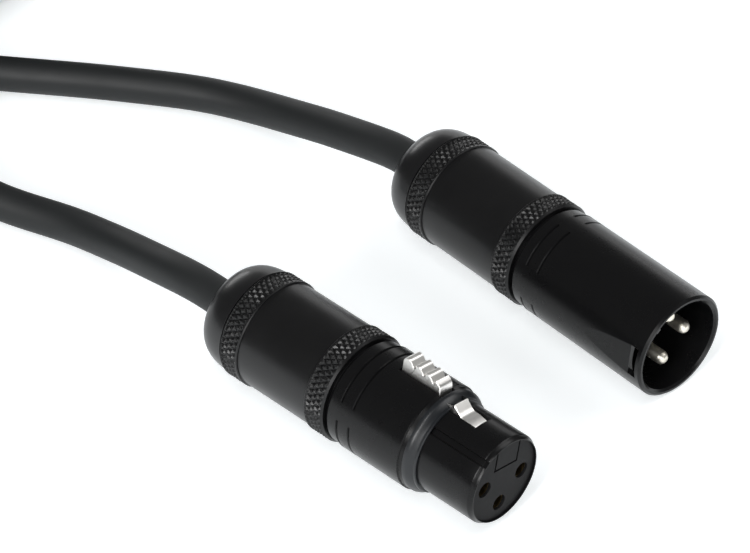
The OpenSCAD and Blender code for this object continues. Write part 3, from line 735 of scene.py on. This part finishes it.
def ringGrooves(station, turn, length, arcs):
    # depth of the two rings at a station and an angle: a steep front wall and a sloping rear one
    mask = np.zeros(np.broadcast_shapes(station.shape, turn.shape))
    around = sum(between(np.mod(turn, 360), low, high, shells["grooveFade"]) for low, high in arcs)
    half = shells["grooveWidth"] / 2
    for k in (1, 2):
        middle = length - k * shells["groovePitch"]
        bends = [middle - half, middle - half + shells["grooveWall"], middle, middle + half]
        mask = mask + np.interp(station, bends, [0, 1, 1, 0]) * around
    return shells["grooveDepth"] * mask


def grooveStops(length):
    # stations where the rings' profiles bend
    half = shells["grooveWidth"] / 2
    bends = (-half, shells["grooveWall"] - half, 0, half / 2, half)
    return [length - k * shells["groovePitch"] + bend for k in (1, 2) for bend in bends]


def arcStops():
    # angles where the rings' arcs start, are full, and end
    arcs = shells["grooveArcs"] + shells["socketArcs"]
    fade = shells["grooveFade"]
    return [
        end + shift for low, high in arcs
        for end, shift in ((low, 0), (low, fade), (high, -fade), (high, 0))
    ]


def slotStops(centre, half, radius):
    # angles of a slot's two edges
    edge = math.degrees(math.asin(half / radius))
    return [centre - edge, centre + edge]


def slotMask(station, turn, centre, half, radius, low, high):
    # cells whose middles lie in a slot
    edge = math.degrees(math.asin(half / radius))
    nextTurn = np.append(turn[1:], turn[0] + 360)
    inTurn = np.abs(fold((turn + nextTurn) / 2, centre)) < edge
    middle = (station[:-1] + station[1:]) / 2
    return ((middle > low) & (middle < high))[:, None] & inTurn[None, :]


def alignedTurn(turn, slots, outerRadius, innerRadius):
    # the inner skin's angles, spread so that a slot's walls are parallel
    moved = turn.copy()
    for centre, half in slots:
        edgeOut = math.degrees(math.asin(half / outerRadius))
        edgeIn = math.degrees(math.asin(half / innerRadius))
        offset = fold(turn, centre)
        reach = [0, edgeOut, edgeOut + shells["slotSpread"]]
        spread = np.interp(np.abs(offset), reach, [0, edgeIn - edgeOut, 0])
        moved = moved + np.sign(offset) * spread
    return moved


def makePlugShell():
    length, radius, bevel = shells["maleLength"], shells["radius"], shells["bevel"]
    seat, mouth = shells["maleSeat"], shells["mouth"]
    windowFrom, windowTo, windowHalf = shells["windowFrom"], shells["windowTo"], shells["windowHalf"]
    keyFrom, keyTo = shells["keyEnds"]
    slope, fade, hair = shells["keySlope"], shells["keyFade"], shells["hair"]
    outerProfile = [(0, radius - bevel), (bevel, radius), *rearProfile(length)]
    tailEnd = length + shells["tailLength"]
    innerProfile = [
        (0, mouth + bevel), (bevel, mouth), (seat, mouth),
        (seat + shells["step"], shells["tailBore"]), (tailEnd, shells["tailBore"]),
    ]
    windowAt = layout["maleRoll"]
    keyAt = windowAt - shells["keyAngle"]
    keyEdge = math.degrees(math.asin(shells["keyHalf"] / mouth))
    station = stationRows(
        stationsOf(outerProfile), stationsOf(innerProfile), grooveStops(length),
        [keyFrom, keyFrom + slope, keyTo - slope, keyTo], [windowFrom, windowTo - 2 * hair],
        windowTo + np.linspace(0, shells["flatLength"], shells["flatRows"]),
    )
    flatSpread = shells["flatSpread"]
    turn = turnColumns(
        arcStops() + slotStops(windowAt, windowHalf, radius)
        + [keyAt + side * (keyEdge + extra) for side in (-1, 1) for extra in (0, -fade)]
        + list(windowAt + np.arange(-flatSpread, flatSpread + 0.1, shells["flatTurnStep"]))
    )
    s, t = station[:, None], turn[None, :]
    outer = radiusAt(station, outerProfile) - ringGrooves(s, t, length, shells["grooveArcs"])
    # the flat behind the window is a plane that rises to the shell's surface
    rise = shells["flatDepth"] * (1 - (s - windowTo) / shells["flatLength"])
    plane = (radius - rise) / np.cos(np.radians(np.clip(fold(t, windowAt), -80, 80)))
    onFlat = (s > windowTo - hair) & (rise > 0)
    outer = np.where(onFlat, np.minimum(outer, plane), outer)
    key = between(fold(t, keyAt), -keyEdge, keyEdge, fade) * between(s, keyFrom, keyTo, slope)
    inner = radiusAt(station, innerProfile) - shells["keyHeight"] * key
    hole = slotMask(station, turn, windowAt, windowHalf, radius, windowFrom, windowTo)
    innerTurn = alignedTurn(turn, [(windowAt, windowHalf)], radius, mouth)
    shell = shellOfTwoSkins(
        "plugShell", placeMale, station, turn, outer, inner, innerTurn, hole, shellMaterial,
    )
    finishPiece(shell, "root", "shell_black", "male_shell")


def makeSocketShell():
    length, radius, nose = shells["femaleLength"], shells["radius"], shells["nose"]
    sealEnd, seat, step = shells["sealEnd"], shells["femaleSeat"], shells["step"]
    shoulder, slope, fade = shells["shoulder"], shells["keySlope"], shells["keyGrooveFade"]
    atSeal, atShoulder, behindShoulder = shells["shoulderRadii"]
    outerProfile = [
        *shells["noseLip"], (sealEnd, nose), (sealEnd + step, atSeal), (shoulder, atShoulder),
        (shoulder + step, behindShoulder), (shoulder + shells["shoulderBevel"], radius),
        *rearProfile(length),
    ]
    tailEnd = length + shells["tailLength"]
    innerProfile = [
        (0, shells["noseBore"]), (seat, shells["noseBore"]),
        (seat + step, shells["tailBore"]), (tailEnd, shells["tailBore"]),
    ]
    latchAt = layout["femaleRoll"]
    keyAt = latchAt + shells["keyAngle"]
    keyEdge = math.degrees(math.asin(shells["keyGrooveHalf"] / nose))
    hookHalf, hookFrom, hookTo = shells["hookSlot"]
    buttonHalf, buttonFrom, buttonTo = shells["buttonSlot"]
    station = stationRows(
        stationsOf(outerProfile), stationsOf(innerProfile), grooveStops(length),
        [shells["noseLength"] - slope, shells["noseLength"], hookFrom, hookTo, buttonFrom, buttonTo],
    )
    turn = turnColumns(
        arcStops() + slotStops(latchAt, hookHalf, nose) + slotStops(latchAt, buttonHalf, radius)
        + [keyAt + side * (keyEdge + extra) for side in (-1, 1) for extra in (0, -fade)]
    )
    s, t = station[:, None], turn[None, :]
    inner = radiusAt(station, innerProfile) + 0 * t
    key = between(fold(t, keyAt), -keyEdge, keyEdge, fade) * between(s, -1, shells["noseLength"], slope)
    outer = radiusAt(station, outerProfile) - ringGrooves(s, t, length, shells["socketArcs"])
    outer = np.maximum(outer - shells["keyGrooveDepth"] * key, inner + shells["thinnest"])
    hole = slotMask(station, turn, latchAt, hookHalf, nose, hookFrom, hookTo)
    hole |= slotMask(station, turn, latchAt, buttonHalf, radius, buttonFrom, buttonTo)
    shell = shellOfTwoSkins(
        "socketShell", placeFemale, station, turn, outer, inner, turn, hole, shellMaterial,
    )
    finishPiece(shell, "root", "shell_black", "female_shell")


makePlugShell()
makeSocketShell()
print("stage: shells")

barrels = {
    "start": 30.85,
    "plugLength": 25.3,
    "socketLength": 23.4,
    "band": 4.1,
    "plain": 9.5,
    "bandRadius": 9.8,
    "bore": 8.7,
    "bevel": 0.35,
    "rearWall": 2.6,
    "throat": 7.2,
    "throatLength": 2.6,
    "coneLength": 5.8,
    "neckBore": 5.1,
    "diamonds": 54,
    "diamondLength": 0.9,
    "diamondDepth": 0.33,
    "diamondTop": 1.2,
    "columnsPerDiamond": 8,
    "rowStep": 0.12,
    "rim": 0.15,
    "rowMost": 4.0,
    "sharpAngle": 25,
}


def makeBarrel(name, place, end, body, node):
    # grip bands: two crossing sets of helical grooves leave flat-topped diamonds
    band, bevel, step, rim = barrels["band"], barrels["bevel"], shells["step"], barrels["rim"]
    high, low, bore = barrels["bandRadius"], barrels["plain"], barrels["bore"]
    outerProfile = [
        (0, high - bevel), (bevel, high), (band - rim, high), (band, high - rim), (band + step, low),
        (end - band - step, low), (end - band, high - rim), (end - band + rim, high),
        (end - bevel, high), (end, high - bevel),
    ]
    wall = end - barrels["rearWall"]
    throat = wall - barrels["throatLength"]
    innerProfile = [
        (0, bore), (throat - barrels["coneLength"], bore), (throat, barrels["throat"]),
        (wall, barrels["throat"]), (wall + step, barrels["neckBore"]), (end, barrels["neckBore"]),
    ]
    bandRows = np.arange(bevel, band, barrels["rowStep"])
    edges = np.array([bevel, bevel + rim, band - 2 * rim, band - rim])
    station = stationRows(
        stationsOf(outerProfile), stationsOf(innerProfile),
        bandRows, end - bandRows, edges, end - edges, most=barrels["rowMost"],
    )
    columns = barrels["diamonds"] * barrels["columnsPerDiamond"]
    turn = 360 * np.arange(columns) / columns
    s, t = station[:, None], turn[None, :]
    across = t * barrels["diamonds"] / 360
    along = s / barrels["diamondLength"]
    ridge = [1 - np.abs(2 * np.mod(across + lean * along, 1) - 1) for lean in (-0.5, 0.5)]
    diamond = np.clip(barrels["diamondTop"] * np.minimum(*ridge), 0, 1)
    frontBand = between(s, bevel, band - 2 * rim, rim)
    rearBand = between(s, end - band + 2 * rim, end - bevel, rim)
    cut = barrels["diamondDepth"] * (1 - diamond) * np.maximum(frontBand, rearBand)
    outer = radiusAt(station, outerProfile) - cut
    inner = radiusAt(station, innerProfile) + 0 * t
    hole = np.zeros((len(station) - 1, columns), dtype=bool)
    barrel = shellOfTwoSkins(
        name, place, barrels["start"] + station, turn, outer, inner, turn, hole,
        barrelMaterial, barrels["sharpAngle"],
    )
    finishPiece(barrel, body, "barrel_black", node)


makeBarrel("plugBarrel", placeMale, barrels["plugLength"], "male_barrel_body", "male_barrel")
makeBarrel("socketBarrel", placeFemale, barrels["socketLength"], "female_barrel_body", "female_barrel")
print("stage: barrels")

boots = {
    "radius": 9.5,
    "length": 6.4,
    "fullness": 2.5,
    "bore": 3.55,
    "lip": 1.0,
    "neck": 5.0,
    "flange": 6.4,
    "flangeThickness": 1.2,
    "gap": 0.1,
    "holeBevel": 0.3,
    "steps": 28,
    "sides": 128,
}


def makeBoot(name, place, rear, body, node):
    # dome: radius and height are the powers 2/fullness of a cosine and a sine
    dome, flange = rear + boots["gap"], rear - barrels["rearWall"] - boots["gap"]
    bore, bevel = boots["bore"], boots["holeBevel"]
    flangeFront = flange - boots["flangeThickness"]
    lip = bore + boots["lip"]
    angle = np.pi / 2 * np.arange(boots["steps"] + 1) / boots["steps"]
    power = 2 / boots["fullness"]
    radius = lip + (boots["radius"] - lip) * np.clip(np.cos(angle), 0, 1) ** power
    station = dome + boots["length"] * np.sin(angle) ** power
    outline = [
        (bore, flangeFront), (boots["flange"], flangeFront), (boots["flange"], flange),
        (boots["neck"], flange), (boots["neck"], dome), *zip(radius, station),
        (bore + bevel, dome + boots["length"]), (bore, dome + boots["length"] - bevel),
    ]
    boot = turnedPiece(name, place, outline, bootMaterial, boots["sides"])
    finishPiece(boot, body, "boot_black", node)


plugRear = barrels["start"] + barrels["plugLength"]
socketRear = barrels["start"] + barrels["socketLength"]
makeBoot("plugBoot", placeMale, plugRear, "male_boot_body", "male_boot")
makeBoot("socketBoot", placeFemale, socketRear, "female_boot_body", "female_boot")

# a small lip against the nose, a slope that faces forwards, and a round edge under the shell
seal = {
    "outline": (
        (8.0, 11.55), (8.3, 11.55), (8.45, 11.67), (8.47, 12.0), (8.55, 12.05),
        (9.1, 12.9), (9.2, 13.2), (9.2, 13.75), (8.0, 13.75),
    ),
    "sides": 128,
}
sealPiece = turnedPiece("shoulderSeal", placeFemale, seal["outline"], sealMaterial, seal["sides"])
finishPiece(sealPiece, "root", "seal_rubber", "shoulder_seal")

pins = {
    "fromWindow": (90, -90, 180),
    "circle": 4.4,
    "radius": 1.2,
    "shank": 1.5,
    "tip": 2.5,
    "tipFlat": 0.25,
    "tipSteps": 9,
    "insertFrom": 15.2,
    "insertTo": 27.5,
    "end": 31.1,
    "cup": 0.8,
    "cupOuter": 1.0,
    "cupDepth": 2.4,
    "axisGap": 0.0001,
    "sides": 40,
}


def makePin(index, fromWindow):
    # a round-nosed contact with a thicker shank in the insert and a solder cup at its end
    radius, tip, gap, flat = pins["radius"], pins["tip"], pins["axisGap"], pins["tipFlat"]
    cupFloor = pins["end"] - pins["cupDepth"]
    nose = np.linspace(0, np.pi / 2, pins["tipSteps"])
    outline = [(gap, tip)]
    outline += [
        (radius * (flat + (1 - flat) * math.sin(a)), tip + radius * (1 - math.cos(a))) for a in nose
    ]
    outline += [
        (radius, pins["insertFrom"]), (pins["shank"], pins["insertFrom"]),
        (pins["shank"], pins["insertTo"]), (pins["cupOuter"], pins["insertTo"]),
        (pins["cupOuter"], pins["end"]), (pins["cup"], pins["end"]),
        (pins["cup"], cupFloor), (gap, cupFloor),
    ]
    angle = math.radians(layout["maleRoll"] - fromWindow)
    centre = (pins["circle"] * math.sin(angle), pins["circle"] * math.cos(angle))
    pin = turnedPiece(f"plugPin{index + 1}", placeMale, outline, pinMaterial, pins["sides"], centre)
    finishPiece(pin, "root", "pin_metal", f"male_pin_{index + 1}")


for pinIndex, pinTurn in enumerate(pins["fromWindow"]):
    makePin(pinIndex, pinTurn)
print("stage: boots, seal and pins")

latch = {
    "armHalf": 1.7,
    "buttonHalf": 1.55,
    "bevel": 0.2,
    "buttonBevel": 0.12,
    "hinge": (26.7, 5.9),
    "eyeRadius": 1.2,
    "eyeHalf": 0.6,
    "eyeSide": 0.8,
    "eyeBevel": 0.1,
    "eyeStep": 10,
    "tongueLength": 1.9,
    "tongueHalf": 0.6,
    "armBottom": 5.4,
    "armTop": 6.6,
    # the hook from its foot to the rear of its catch, and how far each corner is rounded
    "hookFrom": 6.45,
    "hookTop": ((6.45, 7.2), (8.0, 7.6), (9.5, 7.6), (11.15, 9.1)),
    "hookTo": 11.5,
    "hookReach": (0.1, 0.2, 0.6, 0.85, 0.16, 0.2, 0.1, 0.1),
    # the button: its front rises in two steps below the ridge line
    "start": 14.3,
    "end": 22.6,
    "top": 12.1,
    "fall": 0.13,
    "frontLength": 1.25,
    "frontLow": 1.9,
    "frontStep": (0.25, 0.6),
    "frontTop": 0.05,
    "frontReach": (0.05, 0.5, 0.5, 0.15),
    "rearLength": 0.6,
    "rearLow": 0.6,
    "rearReach": (0.6, 0.05),
    # each rib: where its valley and its ridge start and end, as parts of a pitch
    "ribs": 3,
    "ribDepth": 0.8,
    "ribValley": (0.08, 0.22),
    "ribRidge": (0.62, 0.97),
    "ribReach": (0.04, 0.03, 0.35, 0.12),
    "sharpAngle": 24,
}


def placeLatch(points):
    # (across, station, height) in the latch's own frame, rolled with the socket
    roll = math.radians(layout["femaleRoll"])
    across, station, height = points[..., 0], points[..., 1], points[..., 2]
    side = across * math.cos(roll) + height * math.sin(roll)
    up = -across * math.sin(roll) + height * math.cos(roll)
    return placeFemale(np.stack([side, up, station], axis=-1))


def roundCorners(outline, reach, steps=5):
    # each corner of a closed outline becomes a parabola that starts its reach before the corner
    outline = np.array(outline, dtype=float)
    smooth = []
    for i, corner in enumerate(outline):
        ends = []
        for other in (outline[i - 1], outline[(i + 1) % len(outline)]):
            away = other - corner
            size = np.linalg.norm(away)
            ends.append(corner + away * min(reach[i], 0.45 * size) / size)
        for u in np.linspace(0, 1, steps):
            smooth.append((1 - u) ** 2 * ends[0] + 2 * u * (1 - u) * corner + u**2 * ends[1])
    return np.array(smooth)


def inwards(outline, amount):
    # a closed outline that turns left, moved towards its inside by an amount
    along = np.roll(outline, -1, axis=0) - np.roll(outline, 1, axis=0)
    along /= np.linalg.norm(along, axis=1)[:, None]
    return outline + amount * np.stack([-along[:, 1], along[:, 0]], axis=-1)


def profileSolid(outline, half, bevel, middle=0.0):
    # an outline of (station, height) made solid across a width, with bevelled sides
    station, height = outline.T
    if np.sum(station * np.roll(height, -1) - np.roll(station, -1) * height) < 0:
        outline = outline[::-1]
    inner = inwards(outline, bevel)
    layers = [(-half, inner), (-half + bevel, outline), (half - bevel, outline), (half, inner)]
    count = len(outline)
    points = np.concatenate([
        np.column_stack([np.full(count, middle + across), shape]) for across, shape in layers
    ])
    faces = [tuple(int(i) for i in quad) for quad in gridFaces(4, count, closeColumns=True)]
    faces.append(tuple(range(count - 1, -1, -1)))
    faces.append(tuple(range(3 * count, 4 * count)))
    return points, faces


def ridgeHeight(station):
    # the line that the tops of the button's ribs lie on, lower towards the front
    return latch["top"] - latch["fall"] * (latch["end"] - station)


def hookOutline():
    bottom, top = latch["armBottom"], latch["armTop"]
    rear = latch["hinge"][0] - latch["eyeRadius"]
    outline = [
        (latch["hookFrom"], bottom), *latch["hookTop"], (latch["hookTo"], top),
        (rear, top), (rear, bottom),
    ]
    return roundCorners(outline, latch["hookReach"])


def buttonOutline():
    start, end, bottom = latch["start"], latch["end"], latch["armBottom"]
    ahead, below = latch["frontStep"]
    first = start + latch["frontLength"]
    pitch = (end - first - latch["rearLength"]) / latch["ribs"]
    outline = [
        (start, bottom), (start, ridgeHeight(start) - latch["frontLow"]),
        (start + ahead, ridgeHeight(start) - below), (first, ridgeHeight(first) - latch["frontTop"]),
    ]
    reach = [*latch["frontReach"]]
    for i in range(latch["ribs"]):
        low = ridgeHeight(first + i * pitch) - latch["ribDepth"]
        outline += [(first + (i + part) * pitch, low) for part in latch["ribValley"]]
        ridge = [first + (i + part) * pitch for part in latch["ribRidge"]]
        outline += [(station, ridgeHeight(station)) for station in ridge]
        reach += latch["ribReach"]
    outline += [(end, latch["top"] - latch["rearLow"]), (end, bottom)]
    return roundCorners(outline, [*reach, *latch["rearReach"]])


def makeLatch():
    hinge, height = latch["hinge"]
    turn = np.radians(np.arange(0, 360, latch["eyeStep"]))
    eye = np.column_stack([
        hinge + latch["eyeRadius"] * np.cos(turn), height + latch["eyeRadius"] * np.sin(turn),
    ])
    front, half = hinge - latch["tongueLength"], latch["tongueHalf"]
    tongue = np.array([
        (front, height - half), (hinge, height - half), (hinge, height + half), (front, height + half),
    ])
    solids = [
        profileSolid(hookOutline(), latch["armHalf"], latch["bevel"]),
        profileSolid(buttonOutline(), latch["buttonHalf"], latch["buttonBevel"]),
        profileSolid(eye, latch["eyeHalf"], latch["eyeBevel"], latch["eyeSide"]),
        profileSolid(tongue, latch["eyeHalf"], latch["eyeBevel"], latch["eyeSide"]),
    ]
    allPoints, allFaces = [], []
    for points, faces in solids:
        offset = sum(len(x) for x in allPoints)
        allPoints.append(points)
        allFaces += [tuple(i + offset for i in face) for face in faces]
    mesh = bpy.data.meshes.new("latch")
    mesh.from_pydata(placeLatch(np.concatenate(allPoints)).tolist(), [], allFaces)
    mesh.polygons.foreach_set("use_smooth", np.ones(len(mesh.polygons), dtype=bool))
    mesh.set_sharp_from_angle(angle=math.radians(latch["sharpAngle"]))
    mesh.materials.append(nickelMaterial)
    thing = bpy.data.objects.new("latch", mesh)
    bpy.context.scene.collection.objects.link(thing)
    finishPiece(thing, "latch", "latch_nickel", "female_latch")


makeLatch()
print("stage: latch")

# looks of the CAD's own solids that show as they are
cadMaterials = {
    "insert": insertMaterial,
    "contact": contactMaterial,
    "ground_clip": clipMaterial,
    "wires": wireMaterial,
    "chuck": clampMaterial,
    "latch_pin": springMaterial,
    "latch_spring": springMaterial,
}
for nodeName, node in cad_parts.items():
    node.data.materials.clear()
    found = [material for part, material in cadMaterials.items() if part in nodeName]
    node.data.materials.append(found[0] if found else shellMaterial)
